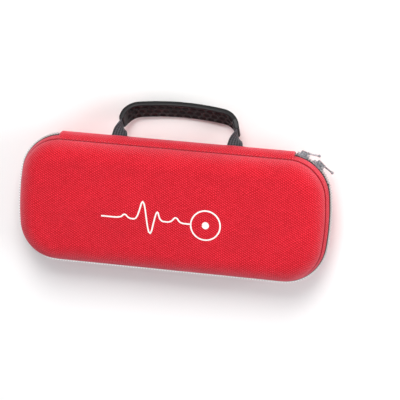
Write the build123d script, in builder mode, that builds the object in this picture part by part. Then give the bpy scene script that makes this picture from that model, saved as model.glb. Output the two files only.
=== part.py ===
from build123d import *
import math
import os

os.makedirs("parts", exist_ok=True)

# A moulded zip case lying flat on its base, lid up. Millimetres.
# X runs along the case, +Y points to the spine and the handle, +Z is up.
# The origin is under the middle of the case, on the plane that it rests on.

# Overall form
case_length = 280.0
case_width = 115.0
case_thickness = 60.0
corner_radius = 38.0
end_bow = 8.0
wall_draft = 13.0
edge_rounding = 18.0
wall_thickness = 3.2
lining_thickness = 0.8

# Rim, zip and the groove that runs round each half
rim_distance = 4.5
groove_distance = 13.0
groove_width = 1.2
groove_depth = 0.9
chain_half_width = 2.9
chain_depth = 2.4
chain_gap = 0.15
tape_thickness = 0.7
tape_inset = 0.9
closed_chain_tail = 20.0
chain_end_gap = 0.5
binding_thickness = 0.8
binding_height = 6.0
stop_length = 1.1

# Spine strip and its two folds
fold_distance = 10.0
spine_overrun = 4.1
spine_thickness = 4.5
spine_crown = 1.5
spine_shoulder = 4.7
spine_shoulder_rounding = 5.0
spine_lining_thickness = 0.6
fold_gap = 0.3
notch_side_gap = 0.5
zip_start_gap = 1.5

# Handle
grip_span = 108.0
grip_height = 32.5
grip_rise = 6.0
grip_shoulder = 19.0
grip_thickness = 4.5
grip_width = 21.0
grip_end_width = 15.0
grip_start = 12.0
grip_taper_length = 7.0
grip_edge_rounding = 1.1
webbing_width = 13.0
webbing_thickness = 1.8
webbing_tongue = 3.5
handle_droop = 40.0
patch_length = 19.0
patch_height = 6.5
patch_thickness = 0.8
foot_gap = 0.3

# Zip sliders and pulls
first_slider_distance = 5.7
slider_spacing = 15.25
slider_length = 11.0
slider_width = 8.6
slider_nose_width = 7.8
slider_plate = 1.2
slider_lift = 0.3
slider_flange = 0.7
flange_drop = 0.9
crown_length = 6.0
crown_width = 2.2
crown_height = 3.2
pin_height = 3.2
pin_radius = 0.65
pin_clearance = 0.3
pull_frame_width = 5.2
pull_frame_length = 5.2
pull_bar = 0.95
pull_length = 13.4
pull_rod_radius = 0.75
pull_bulb_radius = 1.3
first_pull_lift = 10.0
second_pull_lift = 5.0

# Straps in the base and pocket in the lid
strap_spacing = 110.0
strap_width = 20.0
strap_thickness = 1.2
strap_reach = 33.0
strap_overlap = 13.0
pad_length = 26.0
pad_thickness = 0.9
pocket_clearance = 2.3
pocket_mesh_thickness = 0.8
pocket_edge_y = 14.0
pocket_binding_width = 8.0
pocket_binding_thickness = 1.6

# Values that follow from the sizes above
middle = case_thickness / 2
half_length = case_length / 2
half_width = case_width / 2
draft_slope = math.tan(math.radians(wall_draft))
end_arc_radius = (half_width**2 + end_bow**2) / (2 * end_bow)
arc_y = half_width - corner_radius
arc_x = half_length - end_arc_radius + math.sqrt((end_arc_radius - corner_radius) ** 2 - arc_y**2)
fold_y = half_width - 0.2
spine_inner_y = fold_y - (spine_thickness - spine_crown)
spine_outer_y = fold_y + spine_crown
spine_length = 2 * (arc_x + spine_overrun)
notch_half = spine_length / 2 + notch_side_gap
zip_start_x = spine_length / 2 + zip_start_gap
zip_start_angle = math.degrees(math.asin((zip_start_x - arc_x) / corner_radius))
first_slider_angle = zip_start_angle + math.degrees(first_slider_distance / corner_radius)
second_slider_angle = first_slider_angle + math.degrees(slider_spacing / corner_radius)
closed_chain_end_angle = second_slider_angle + math.degrees(closed_chain_tail / corner_radius)
foot_radius = webbing_thickness / 2
hinge_y = spine_outer_y + patch_thickness + foot_gap + foot_radius
leg_x = grip_span / 2 - grip_thickness / 2


def level_plane(side, distance):
    """Plane at a distance from the zip's middle plane; side 1 is the lid, -1 the base."""
    return Plane(origin=(0, 0, middle + side * distance), x_dir=(1, 0, 0), z_dir=(0, 0, side))


def inset_at(distance):
    """How far the drafted wall has come in at a distance from the middle plane."""
    return distance * draft_slope


def outline(inset):
    """Plan of the case, straight along both long sides and bowed at both ends."""
    reach = corner_radius - inset
    y_straight = half_width - inset
    x_end = half_length - inset
    tangent = math.atan2(arc_y, arc_x - half_length + end_arc_radius)
    x_tangent = arc_x + reach * math.cos(tangent)
    y_tangent = arc_y + reach * math.sin(tangent)
    halfway = (tangent + math.pi / 2) / 2
    x_corner = arc_x + reach * math.cos(halfway)
    y_corner = arc_y + reach * math.sin(halfway)
    with BuildSketch(Plane.XY) as plan:
        with BuildLine():
            ThreePointArc((x_tangent, -y_tangent), (x_end, 0), (x_tangent, y_tangent))
            ThreePointArc((x_tangent, y_tangent), (x_corner, y_corner), (arc_x, y_straight))
            Line((arc_x, y_straight), (-arc_x, y_straight))
            ThreePointArc((-arc_x, y_straight), (-x_corner, y_corner), (-x_tangent, y_tangent))
            ThreePointArc((-x_tangent, y_tangent), (-x_end, 0), (-x_tangent, -y_tangent))
            ThreePointArc((-x_tangent, -y_tangent), (-x_corner, -y_corner), (-arc_x, -y_straight))
            Line((-arc_x, -y_straight), (arc_x, -y_straight))
            ThreePointArc((arc_x, -y_straight), (x_corner, -y_corner), (x_tangent, -y_tangent))
        make_face()
    return plan.sketch


def tray(side, start, end, inset, rounding):
    """Solid drafted form of one half, from start to end off the middle plane."""
    with BuildPart() as form:
        with BuildSketch(level_plane(side, start)):
            add(outline(inset))
        extrude(amount=end - start, taper=wall_draft)
        if rounding > 0:
            fillet(form.faces().sort_by(Axis.Z)[-1 if side > 0 else 0].edges(), rounding)
    return form.part


def ring(side, start, end, outer_inset, inner_inset):
    """Upright band that follows the outline between two insets."""
    with BuildPart() as band:
        with BuildSketch(level_plane(side, start)):
            add(outline(outer_inset))
            add(outline(inner_inset), mode=Mode.SUBTRACT)
        extrude(amount=end - start)
    return band.part


def corner_wedge(end_angle):
    """Sector about the corner arc's centre, from the spine's side to an angle."""
    reach = corner_radius * 2
    with BuildPart() as wedge:
        with BuildSketch(Plane.XY):
            with BuildLine():
                Polyline(
                    (arc_x, arc_y),
                    (arc_x, arc_y + reach),
                    (arc_x + reach, arc_y + reach),
                    (
                        arc_x + reach * math.sin(math.radians(end_angle)),
                        arc_y + reach * math.cos(math.radians(end_angle)),
                    ),
                    close=True,
                )
            make_face()
        extrude(amount=case_thickness)
    return wedge.part


def spine_block(half, low, high):
    """Block over the spine's side of the rim, used to open it for the spine."""
    with BuildPart() as block:
        with Locations((0, half_width, (low + high) / 2)):
            Box(2 * half, case_width / 4, high - low)
    return block.part


notch_low = middle - fold_distance
notch_high = middle + fold_distance
rim_inset = inset_at(rim_distance)
lining_inset = rim_inset + wall_thickness
inner_inset = lining_inset + lining_thickness
cavity_end = middle - wall_thickness
inner_end = cavity_end - lining_thickness
cavity_rounding = edge_rounding - wall_thickness
inner_rounding = cavity_rounding - lining_thickness


def shell(side):
    """Moulded half: drafted walls, rounded edge, a groove round it and the spine's notch."""
    groove_inset = inset_at(groove_distance)
    with BuildPart() as half:
        add(tray(side, rim_distance, middle, rim_inset, edge_rounding))
        add(tray(side, rim_distance, cavity_end, lining_inset, cavity_rounding), mode=Mode.SUBTRACT)
        with BuildSketch(level_plane(side, groove_distance - groove_width / 2)):
            add(outline(0))
            add(outline(groove_inset + groove_depth), mode=Mode.SUBTRACT)
        extrude(amount=groove_width, mode=Mode.SUBTRACT)
        add(spine_block(notch_half, notch_low, notch_high), mode=Mode.SUBTRACT)
    return half.part


def lining(side):
    """Thin fabric lining on the inside of a half."""
    with BuildPart() as half:
        add(tray(side, rim_distance, cavity_end, lining_inset, cavity_rounding))
        add(tray(side, rim_distance, inner_end, inner_inset, inner_rounding), mode=Mode.SUBTRACT)
        add(spine_block(notch_half, notch_low, notch_high), mode=Mode.SUBTRACT)
    return half.part


def rim_binding(side):
    """Tape sewn round the inside of a rim, over the lining's edge."""
    end = rim_distance + binding_height
    with BuildPart() as half:
        add(tray(side, rim_distance, end, inner_inset, 0))
        add(tray(side, rim_distance, end, inner_inset + binding_thickness, 0), mode=Mode.SUBTRACT)
        add(spine_block(notch_half, notch_low - 1, notch_high + 1), mode=Mode.SUBTRACT)
    return half.part


with BuildPart() as base_shell:
    add(shell(-1))
with BuildPart() as lid_shell:
    add(shell(1))
with BuildPart() as base_lining:
    add(lining(-1))
with BuildPart() as lid_lining:
    add(lining(1))
with BuildPart() as base_rim_binding:
    add(rim_binding(-1))
with BuildPart() as lid_rim_binding:
    add(rim_binding(1))

# Zip. The base carries its own chain all round, and beside the sliders the closed chain too.
zip_opening = spine_block(zip_start_x, 0, case_thickness)
tape_back = tape_inset + tape_thickness

with BuildPart() as zip_chain_base:
    add(ring(-1, chain_gap, chain_half_width, 0, chain_depth))
    add(zip_opening, mode=Mode.SUBTRACT)
with BuildPart() as zip_tape_base:
    add(ring(-1, chain_half_width, rim_distance, tape_inset, tape_back))
    add(zip_opening, mode=Mode.SUBTRACT)
with BuildPart() as zip_closed_chain:
    add(ring(1, -chain_gap, chain_half_width, 0, chain_depth))
    add(zip_opening, mode=Mode.SUBTRACT)
    add(corner_wedge(closed_chain_end_angle), mode=Mode.INTERSECT)
with BuildPart() as zip_closed_tape:
    add(ring(1, chain_half_width, rim_distance - fold_gap, tape_inset, tape_back))
    add(zip_opening, mode=Mode.SUBTRACT)
    add(corner_wedge(closed_chain_end_angle), mode=Mode.INTERSECT)

lid_chain_angle = closed_chain_end_angle + math.degrees(chain_end_gap / corner_radius)
with BuildPart() as zip_chain_lid:
    add(ring(1, chain_gap, chain_half_width, 0, chain_depth))
    add(zip_opening, mode=Mode.SUBTRACT)
    add(corner_wedge(lid_chain_angle), mode=Mode.SUBTRACT)
with BuildPart() as zip_tape_lid:
    add(ring(1, chain_half_width, rim_distance, tape_inset, tape_back))
    add(zip_opening, mode=Mode.SUBTRACT)
    add(corner_wedge(lid_chain_angle), mode=Mode.SUBTRACT)

# Metal stops clamped on the ends of the chains, next to the spine.
stop_x = zip_start_x - stop_length / 2
stop_outer_y = arc_y + math.sqrt(corner_radius**2 - (zip_start_x - arc_x) ** 2)
stop_y = stop_outer_y - chain_depth / 2
with BuildPart() as zip_stops_base:
    with Locations((stop_x, stop_y, middle)):
        Box(stop_length, chain_depth, 2 * chain_half_width)
    with Locations((-stop_x, stop_y, middle - (chain_half_width + chain_gap) / 2)):
        Box(stop_length, chain_depth, chain_half_width - chain_gap)
with BuildPart() as zip_stop_lid:
    with Locations((-stop_x, stop_y, middle + (chain_half_width + chain_gap) / 2)):
        Box(stop_length, chain_depth, chain_half_width - chain_gap)

# Spine strip between the two folds, its outer face crowned.
spine_low = notch_low + fold_gap
spine_high = notch_high - fold_gap
with BuildPart() as spine_panel:
    with BuildSketch(Plane.YZ.offset(-spine_length / 2)) as spine_profile:
        with BuildLine():
            Polyline(
                (spine_inner_y, spine_low),
                (fold_y, spine_low),
                (spine_outer_y, spine_low + spine_shoulder),
                (spine_outer_y, spine_high - spine_shoulder),
                (fold_y, spine_high),
                (spine_inner_y, spine_high),
                close=True,
            )
        make_face()
        fillet(spine_profile.vertices().sort_by(Axis.X)[-2:], spine_shoulder_rounding)
    extrude(amount=spine_length)
with BuildPart() as spine_lining:
    with Locations((0, spine_inner_y - spine_lining_thickness / 2, middle)):
        Box(spine_length, spine_lining_thickness, spine_high - spine_low)
with BuildPart() as handle_patches:
    with Locations(
        (-leg_x, spine_outer_y + patch_thickness / 2, middle),
        (leg_x, spine_outer_y + patch_thickness / 2, middle),
    ):
        Box(patch_length, patch_thickness, patch_height)

# Handle, drawn in its own plane: local X along the case, local Y away from the spine.
droop = math.radians(handle_droop)
handle_plane = Plane(
    origin=(0, hinge_y, middle),
    x_dir=(1, 0, 0),
    z_dir=(0, math.sin(droop), math.cos(droop)),
)


def grip_band(inset):
    """Arch of the grip: straight legs, rounded shoulders and a slightly raised top."""
    half_span = grip_span / 2 - inset
    with BuildSketch(Plane.XY) as arch:
        with BuildLine():
            Line((-half_span, 0), (-half_span, grip_height - grip_rise - inset))
            ThreePointArc(
                (-half_span, grip_height - grip_rise - inset),
                (0, grip_height - inset),
                (half_span, grip_height - grip_rise - inset),
            )
            Line((half_span, grip_height - grip_rise - inset), (half_span, 0))
            Line((half_span, 0), (-half_span, 0))
        make_face()
        fillet(arch.vertices().sort_by(Axis.Y)[-2:], grip_shoulder - inset)
    return arch.sketch


def taper_profile(low, high):
    """Side view of the grip: narrower at its ends than along the top."""
    with BuildSketch(Plane.XY) as profile:
        with BuildLine():
            Polyline(
                (low, -grip_end_width / 2),
                (low + grip_taper_length, -grip_width / 2),
                (high, -grip_width / 2),
                (high, grip_width / 2),
                (low + grip_taper_length, grip_width / 2),
                (low, grip_end_width / 2),
                close=True,
            )
        make_face()
    return profile.sketch


def in_handle(x, y, z, turn):
    """Location in the handle's plane, with an axis along local Y and a turn about it."""
    return Plane(
        origin=handle_plane.from_local_coords(Vector(x, y, z)),
        x_dir=Vector(1, 0, 0).rotate(Axis((0, 0, 0), handle_plane.y_dir), turn),
        z_dir=handle_plane.y_dir,
    )


with BuildPart() as tongues:
    for sign in (-1, 1):
        with BuildSketch(in_handle(sign * leg_x, grip_start, 0, 90)):
            Rectangle(webbing_width, webbing_thickness)
        extrude(amount=webbing_tongue)

side_plane = Plane(origin=handle_plane.origin, x_dir=handle_plane.y_dir, z_dir=(1, 0, 0))
with BuildPart() as grip_side_form:
    with BuildSketch(side_plane):
        add(taper_profile(grip_start, grip_height + 1))
    extrude(amount=grip_span, both=True)

with BuildPart() as handle_grip:
    with BuildSketch(handle_plane):
        add(grip_band(0))
        add(grip_band(grip_thickness), mode=Mode.SUBTRACT)
    extrude(amount=grip_width, both=True)
    add(grip_side_form.part, mode=Mode.INTERSECT)
    fillet(handle_grip.edges(), grip_edge_rounding)
    add(tongues.part, mode=Mode.SUBTRACT)

webbing_steps = 6


def webbing_ribbon(x):
    """One end of the webbing, turning a quarter turn between the spine and the grip."""
    with BuildPart() as ribbon:
        for step in range(webbing_steps + 1):
            share = step / webbing_steps
            with BuildSketch(in_handle(x, share * grip_start, 0, 90 * share)):
                Rectangle(webbing_width, webbing_thickness)
        loft()
    return ribbon.part


def webbing_foot(x):
    """Rounded foot of the webbing, which rolls where it leaves the spine."""
    centre = handle_plane.from_local_coords(Vector(x, 0, 0))
    with BuildPart(Plane(origin=centre, x_dir=(0, 1, 0), z_dir=(1, 0, 0))) as foot:
        Cylinder(foot_radius, webbing_width)
    return foot.part


with BuildPart() as handle_webbing:
    for sign in (-1, 1):
        add(webbing_ribbon(sign * leg_x))
        add(webbing_foot(sign * leg_x))
    add(tongues.part)


def slider_frame(angle, lift):
    """Plane on the corner arc: local X along the zip, local Z outwards."""
    turn = math.radians(angle)
    radius = corner_radius + lift
    return Plane(
        origin=(arc_x + radius * math.sin(turn), arc_y + radius * math.cos(turn), middle),
        x_dir=(math.cos(turn), -math.sin(turn), 0),
        z_dir=(math.sin(turn), math.cos(turn), 0),
    )


plate_top = slider_lift + slider_plate


def slider(angle):
    """Slider plate over the chain, with a flange down each side of it."""
    with BuildPart() as body:
        with BuildSketch(slider_frame(angle, slider_lift)) as plate:
            with BuildLine():
                Polyline(
                    (-slider_length / 2, -slider_nose_width / 2),
                    (slider_length / 2, -slider_width / 2),
                    (slider_length / 2, slider_width / 2),
                    (-slider_length / 2, slider_nose_width / 2),
                    close=True,
                )
            make_face()
            fillet(plate.vertices(), 1.2)
        extrude(amount=slider_plate)
        with BuildSketch(slider_frame(angle, slider_lift)):
            with Locations((0, slider_nose_width / 2 - slider_flange / 2)):
                Rectangle(slider_length - 3, slider_flange)
            with Locations((0, -slider_nose_width / 2 + slider_flange / 2)):
                Rectangle(slider_length - 3, slider_flange)
        extrude(amount=-flange_drop)
    return body.part


def crown(angle):
    """Bridge on the slider, with a tunnel that the pull's pin turns in."""
    with BuildPart() as bridge:
        with BuildSketch(slider_frame(angle, plate_top)):
            Rectangle(crown_length, crown_width)
        extrude(amount=crown_height)
        top = bridge.faces().sort_by_distance(slider_frame(angle, plate_top + 20).origin)[0]
        ends = top.edges().filter_by(Axis.Z)
        fillet(ends, crown_height / 2 - 0.3)
        tunnel = slider_frame(angle, pin_height)
        with Locations(tunnel):
            with Locations(Rotation(90, 0, 0)):
                Cylinder(pin_radius + pin_clearance, crown_width * 2, mode=Mode.SUBTRACT)
    return bridge.part


def pull(angle, lift):
    """Pull, swung outwards by lift: a pin, two arms round the crown, a bar, a thin rod and a bulb."""
    with BuildPart() as tab:
        with Locations(slider_frame(angle, pin_height).location * Rotation(0, -lift, 0)):
            with Locations(Rotation(90, 0, 0)):
                Cylinder(pin_radius, pull_frame_width)
            for side in (-1, 1):
                arm_y = side * (pull_frame_width - pull_bar) / 2
                with Locations((pull_frame_length / 2 - pin_radius / 2, arm_y, 0)):
                    Box(pull_frame_length + pin_radius, pull_bar, 2 * pin_radius)
            with Locations((pull_frame_length - pull_bar / 2, 0, 0)):
                Box(pull_bar, pull_frame_width, 2 * pin_radius)
            rod_length = pull_length - pull_frame_length
            with Locations((pull_frame_length + rod_length / 2 - 0.2, 0, 0)):
                with Locations(Rotation(0, 90, 0)):
                    Cylinder(pull_rod_radius, rod_length)
            with Locations((pull_length, 0, 0)):
                Sphere(pull_bulb_radius)
    return tab.part


with BuildPart() as first_slider:
    add(slider(first_slider_angle))
with BuildPart() as second_slider:
    add(slider(second_slider_angle))
with BuildPart() as first_crown:
    add(crown(first_slider_angle))
with BuildPart() as second_crown:
    add(crown(second_slider_angle))
with BuildPart() as first_pull:
    add(pull(first_slider_angle, first_pull_lift))
with BuildPart() as second_pull:
    add(pull(second_slider_angle, second_pull_lift))

# Hook-and-loop straps lying on the base's floor. The loop half lies over the hook half.
floor_z = middle - inner_end
strap_places = [(-strap_spacing / 2, 0), (strap_spacing / 2, 0)]
hook_length = strap_reach + strap_overlap
loop_length = strap_reach - strap_overlap + pad_length
with BuildPart() as hook_straps:
    with BuildSketch(Plane.XY.offset(floor_z)):
        with Locations(*[(x, -strap_reach + hook_length / 2) for x, y in strap_places]):
            RectangleRounded(strap_width, hook_length, 3)
    extrude(amount=strap_thickness)
with BuildPart() as hook_pads:
    with BuildSketch(Plane.XY.offset(floor_z + strap_thickness)):
        with Locations(*[(x, strap_overlap - pad_length / 2 - 1) for x, y in strap_places]):
            Rectangle(strap_width - 2, pad_length)
    extrude(amount=pad_thickness)
pads_top = floor_z + strap_thickness + 2 * pad_thickness
with BuildPart() as loop_pads:
    with BuildSketch(Plane.XY.offset(floor_z + strap_thickness + pad_thickness)):
        with Locations(*[(x, strap_overlap - pad_length / 2 - 1) for x, y in strap_places]):
            Rectangle(strap_width - 2, pad_length)
    extrude(amount=pad_thickness)
with BuildPart() as loop_straps:
    for x, y in strap_places:
        with BuildSketch(Plane.YZ.offset(x - strap_width / 2)):
            with BuildLine():
                Polyline(
                    (strap_overlap - pad_length - 2, pads_top),
                    (strap_overlap + 1, pads_top),
                    (strap_overlap + 6, floor_z),
                    (strap_reach, floor_z),
                    (strap_reach, floor_z + strap_thickness),
                    (strap_overlap + 6.6, floor_z + strap_thickness),
                    (strap_overlap + 1.6, pads_top + strap_thickness),
                    (strap_overlap - pad_length - 2, pads_top + strap_thickness),
                    close=True,
                )
            make_face()
        extrude(amount=strap_width)

# Mesh pocket in the lid, its free edge bound with elastic.
pocket_inner = tray(1, rim_distance, inner_end, inner_inset, inner_rounding)
binding_top = middle + rim_distance + binding_height
mesh_z = binding_top + pocket_clearance + pocket_binding_thickness / 2
binding_back = pocket_edge_y + pocket_binding_width
with BuildPart() as pocket_mesh:
    add(pocket_inner)
    with Locations((0, pocket_edge_y - case_width / 2, mesh_z)):
        Box(case_length, case_width, pocket_mesh_thickness, mode=Mode.INTERSECT)
with BuildPart() as pocket_binding:
    add(pocket_inner)
    with Locations((0, pocket_edge_y + pocket_binding_width / 2, mesh_z)):
        Box(case_length, pocket_binding_width, pocket_binding_thickness, mode=Mode.INTERSECT)

nodes = {
    "base_shell": base_shell,
    "base_lining": base_lining,
    "base_rim_binding": base_rim_binding,
    "zip_tape_base": zip_tape_base,
    "zip_chain_base": zip_chain_base,
    "zip_closed_chain": zip_closed_chain,
    "zip_closed_tape": zip_closed_tape,
    "zip_stops_base": zip_stops_base,
    "hook_straps": hook_straps,
    "hook_pads": hook_pads,
    "loop_straps": loop_straps,
    "loop_pads": loop_pads,
    "lid_shell": lid_shell,
    "lid_lining": lid_lining,
    "lid_rim_binding": lid_rim_binding,
    "zip_tape_lid": zip_tape_lid,
    "zip_chain_lid": zip_chain_lid,
    "zip_stop_lid": zip_stop_lid,
    "pocket_mesh": pocket_mesh,
    "pocket_binding": pocket_binding,
    "spine_panel": spine_panel,
    "spine_lining": spine_lining,
    "handle_patches": handle_patches,
    "handle_grip": handle_grip,
    "handle_webbing": handle_webbing,
    "first_slider": first_slider,
    "first_crown": first_crown,
    "first_pull": first_pull,
    "second_slider": second_slider,
    "second_crown": second_crown,
    "second_pull": second_pull,
}
for name, node in nodes.items():
    node.part.label = name
    export_step(node.part, f"parts/{name}.step")
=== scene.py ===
import math

import bpy
import numpy as np
from mathutils import Matrix, Vector


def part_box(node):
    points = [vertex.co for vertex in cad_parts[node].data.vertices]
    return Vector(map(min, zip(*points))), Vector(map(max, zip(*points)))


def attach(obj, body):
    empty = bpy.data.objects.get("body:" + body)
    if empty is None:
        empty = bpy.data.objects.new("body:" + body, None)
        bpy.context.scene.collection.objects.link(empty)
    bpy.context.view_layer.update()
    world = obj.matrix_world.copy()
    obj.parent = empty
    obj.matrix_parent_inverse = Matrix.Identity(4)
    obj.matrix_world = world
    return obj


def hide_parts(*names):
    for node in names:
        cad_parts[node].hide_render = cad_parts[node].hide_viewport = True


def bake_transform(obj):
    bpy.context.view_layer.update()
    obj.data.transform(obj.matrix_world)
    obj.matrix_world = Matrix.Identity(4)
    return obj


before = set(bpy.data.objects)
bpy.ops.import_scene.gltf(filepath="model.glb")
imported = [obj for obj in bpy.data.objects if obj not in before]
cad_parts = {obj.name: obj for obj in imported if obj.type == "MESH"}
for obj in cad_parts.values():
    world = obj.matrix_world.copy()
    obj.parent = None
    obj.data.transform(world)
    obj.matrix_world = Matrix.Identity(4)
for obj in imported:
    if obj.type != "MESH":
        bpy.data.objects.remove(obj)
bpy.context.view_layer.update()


# -----------------------------------------------------------------------------
# Base shell and lid shell. Foam sheet moulded hot between fabric faces, so each half is one
# drafted form with a soft rolled edge. A padded band runs beside the zip, up to a pressed groove.
# -----------------------------------------------------------------------------
def linear(code):
    """Linear colour of an sRGB hex code, with alpha 1."""
    parts = [int(code[i : i + 2], 16) / 255 for i in (1, 3, 5)]
    return tuple(c / 12.92 if c <= 0.04045 else ((c + 0.055) / 1.055) ** 2.4 for c in parts) + (1.0,)


def add_node(tree, kind, inputs=(), **settings):
    """Adds the shader node of a kind. inputs pairs a socket's name or index with a value, with an
    output, or with a node, whose first output is then linked."""
    made = tree.nodes.new("ShaderNode" + kind)
    for name, value in settings.items():
        setattr(made, name, value)
    for socket, value in inputs:
        if isinstance(value, bpy.types.Node):
            value = value.outputs[0]
        if isinstance(value, bpy.types.NodeSocket):
            tree.links.new(value, made.inputs[socket])
        else:
            made.inputs[socket].default_value = value
    return made


def new_material(name):
    """Material with an empty node tree."""
    made = bpy.data.materials.new(name)
    made.use_nodes = True
    made.node_tree.nodes.clear()
    return made, made.node_tree


def into_scene(name, data):
    """Object for a mesh, a light or a camera, linked to the scene."""
    made = bpy.data.objects.new(name, data)
    bpy.context.scene.collection.objects.link(made)
    return made


def grid_piece(name, points, flat_map, material, wrap_rows=False, wrap_columns=False, groove_shade=None):
    """Smooth mesh from rows x columns of points and of map places, both in millimetres.
    The last argument is the painted shade at each point, from 0 to 1, by which the colour is darkened."""
    rows, columns = points.shape[:2]
    mesh = bpy.data.meshes.new(name)
    faces = []
    for i in range(rows if wrap_rows else rows - 1):
        for j in range(columns if wrap_columns else columns - 1):
            i2 = (i + 1) % rows
            j2 = (j + 1) % columns
            faces.append((i * columns + j, i * columns + j2, i2 * columns + j2, i2 * columns + j))
    mesh.from_pydata((points.reshape(-1, 3) * 0.001).tolist(), [], faces)
    mesh.polygons.foreach_set("use_smooth", [True] * len(faces))
    layer = mesh.uv_layers.new(name="cloth")
    corners = np.empty(len(mesh.loops), dtype=np.int32)
    mesh.loops.foreach_get("vertex_index", corners)
    layer.data.foreach_set("uv", flat_map.reshape(-1, 2)[corners].ravel())
    if groove_shade is not None:
        groove_shade_layer = mesh.attributes.new("groove_shade", "FLOAT", "POINT")
        groove_shade_layer.data.foreach_set("value", np.asarray(groove_shade, np.float32).ravel())
    mesh.materials.append(material)
    return into_scene(name, mesh)


def held(value):
    """Value held between 0 and 1."""
    return max(0.0, min(1.0, value))


def eased(share):
    """Share that starts and ends gently."""
    return 3 * share**2 - 2 * share**3


# The outline in millimetres: straight long sides, bowed ends and round corners.
length, width, middle = 280.0, 115.0, 30.0
corner_radius, end_bow = 38.0, 8.0
end_radius = ((width / 2) ** 2 + end_bow**2) / (2 * end_bow)
arc_y = width / 2 - corner_radius
arc_x = length / 2 - end_radius + math.sqrt((end_radius - corner_radius) ** 2 - arc_y**2)
end_turn = math.atan2(arc_y, arc_x - length / 2 + end_radius)
column_spacing = 2.6


def outline():
    """Outline's points and outward normals, clockwise from the middle of the spine's side."""
    places = []
    for x in np.arange(0, arc_x, column_spacing):
        places.append((x, width / 2, 0, 1))
    for turn in np.linspace(0, math.pi / 2 - end_turn, 34):
        nx, ny = math.sin(turn), math.cos(turn)
        places.append((arc_x + corner_radius * nx, arc_y + corner_radius * ny, nx, ny))
    for turn in np.linspace(end_turn, 0, 9)[1:]:
        nx, ny = math.cos(turn), math.sin(turn)
        places.append((length / 2 - end_radius + end_radius * nx, end_radius * ny, nx, ny))
    quarter = np.array(places)
    lower = quarter[-2::-1] * [1, -1, 1, -1]
    left = np.vstack([quarter, lower])[-2:0:-1] * [-1, 1, -1, 1]
    return np.vstack([quarter, lower, left])


ring = outline()
closed_ring = np.vstack([ring, ring[:1]])
ring_run = np.concatenate([[0], np.cumsum(np.linalg.norm(np.diff(closed_ring[:, :2], axis=0), axis=1))])
perimeter = ring_run[-1]


def around(run):
    """Point on the outline and its outward normal at a distance along it, clockwise."""
    run = run % perimeter
    x, y, nx, ny = [np.interp(run, ring_run, closed_ring[:, k]) for k in range(4)]
    size = math.hypot(nx, ny)
    return x, y, nx / size, ny / size


def corner_run(x):
    """Distance along the outline from its start to the place on the first corner at x."""
    return arc_x + math.asin((x - arc_x) / corner_radius) * corner_radius


# Between the ends of the spine the cloth starts further from the zip's plane than at the rim.
notch_x, notch_start, rim_start = 105.5, 10.0, 3.8
notch_step = 0.03


def shell_columns():
    """Outline columns, each with the distance from the zip's plane at which the cloth starts."""
    edge = corner_run(notch_x)
    steps = {edge, edge + notch_step, perimeter - edge, perimeter - edge - notch_step}
    columns = []
    for run in sorted(steps.union(ring_run[:-1].tolist())):
        at_spine = run <= edge + notch_step / 3 or run >= perimeter - edge - notch_step / 3
        columns.append((*around(run), notch_start if at_spine else rim_start))
    return np.array(columns)


columns = shell_columns()

# Profile sizes, as insets from the outline and distances from the zip's plane.
cloth_edge_inset, rim_turn_inset = 5.1, 2.3
band_lean, band_puff = math.tan(math.radians(14.4)), 0.3
groove, groove_rise, groove_shade_half = 13.0, 2.0, 1.3
groove_dips = [(-1.35, -0.1), (-1.1, 0.35), (-0.75, 1.3), (0.0, 2.2)]
groove_dips += [(0.75, 1.4), (1.1, 0.4), (1.35, -0.15)]
wall_draft = math.radians(13)
edge_rounding, rounding_inset, rounding_distance = 18.0, 21.5, 12.0
face_inset, face_distance, ridge_half, lid_crown = 24.0, 30.0, 92.0, 1.3


def outer_profile(start):
    """Inset and distance of the cloth, from the rim's inner edge to the edge of the broad face."""
    places = [(cloth_edge_inset, start), (rim_turn_inset, start)]
    places += [(start * band_lean + 0.55, start + 0.04), (start * band_lean + 0.1, start + 0.5)]
    for share in np.linspace(0.14, 0.94, 8):
        d = start + share * (groove - 1.4 - start)
        places.append((d * band_lean - band_puff * math.sin(math.pi * share) ** 0.6, d))
    for shift, dip in groove_dips:
        places.append(((groove + shift) * band_lean + dip, groove + shift))
    above = groove + groove_rise
    places.append((above * band_lean - 0.16, above))
    for turn in np.linspace(wall_draft, math.pi / 2, 15):
        inset = rounding_inset - edge_rounding * math.cos(turn)
        places.append((inset, rounding_distance + edge_rounding * math.sin(turn)))
    places.append((face_inset, face_distance))
    return np.array(places)


def ripple(x, y, d):
    """Slight unevenness of moulded cloth, stronger where it was pulled round the ends."""
    low = 0.10 * math.sin(x * 0.071 + 1.3) * math.sin(y * 0.113 + 0.4)
    low += 0.05 * math.sin(x * 0.19 + y * 0.23)
    end = math.exp(-(((abs(x) - 124) / 7.0) ** 2)) * held((d - 16) / 8)
    folds = 0.17 * math.sin(y * 0.98 + 0.35 * x) * math.sin(y * 0.21 + 0.8)
    return low * held((d - 14) / 6) + end * folds


def empty_grids(rows, columns):
    """Room for a grid of points and for its map places."""
    return np.zeros((rows, columns, 3)), np.zeros((rows, columns, 2))


def by_rows(per_column):
    """Grid of points and grid of map places, row by row, from the same column by column."""
    return [np.array(grid).transpose(1, 0, 2) for grid in zip(*per_column)]


def to_ridge(foot_x, foot_y, count):
    """Points from the edge of a broad face to its middle ridge, each with its share of the way."""
    ridge_x = max(-ridge_half, min(ridge_half, foot_x))
    shares = np.linspace(0, 1, count)[1:]
    return [(share, foot_x + (ridge_x - foot_x) * share, foot_y * (1 - share)) for share in shares]


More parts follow.
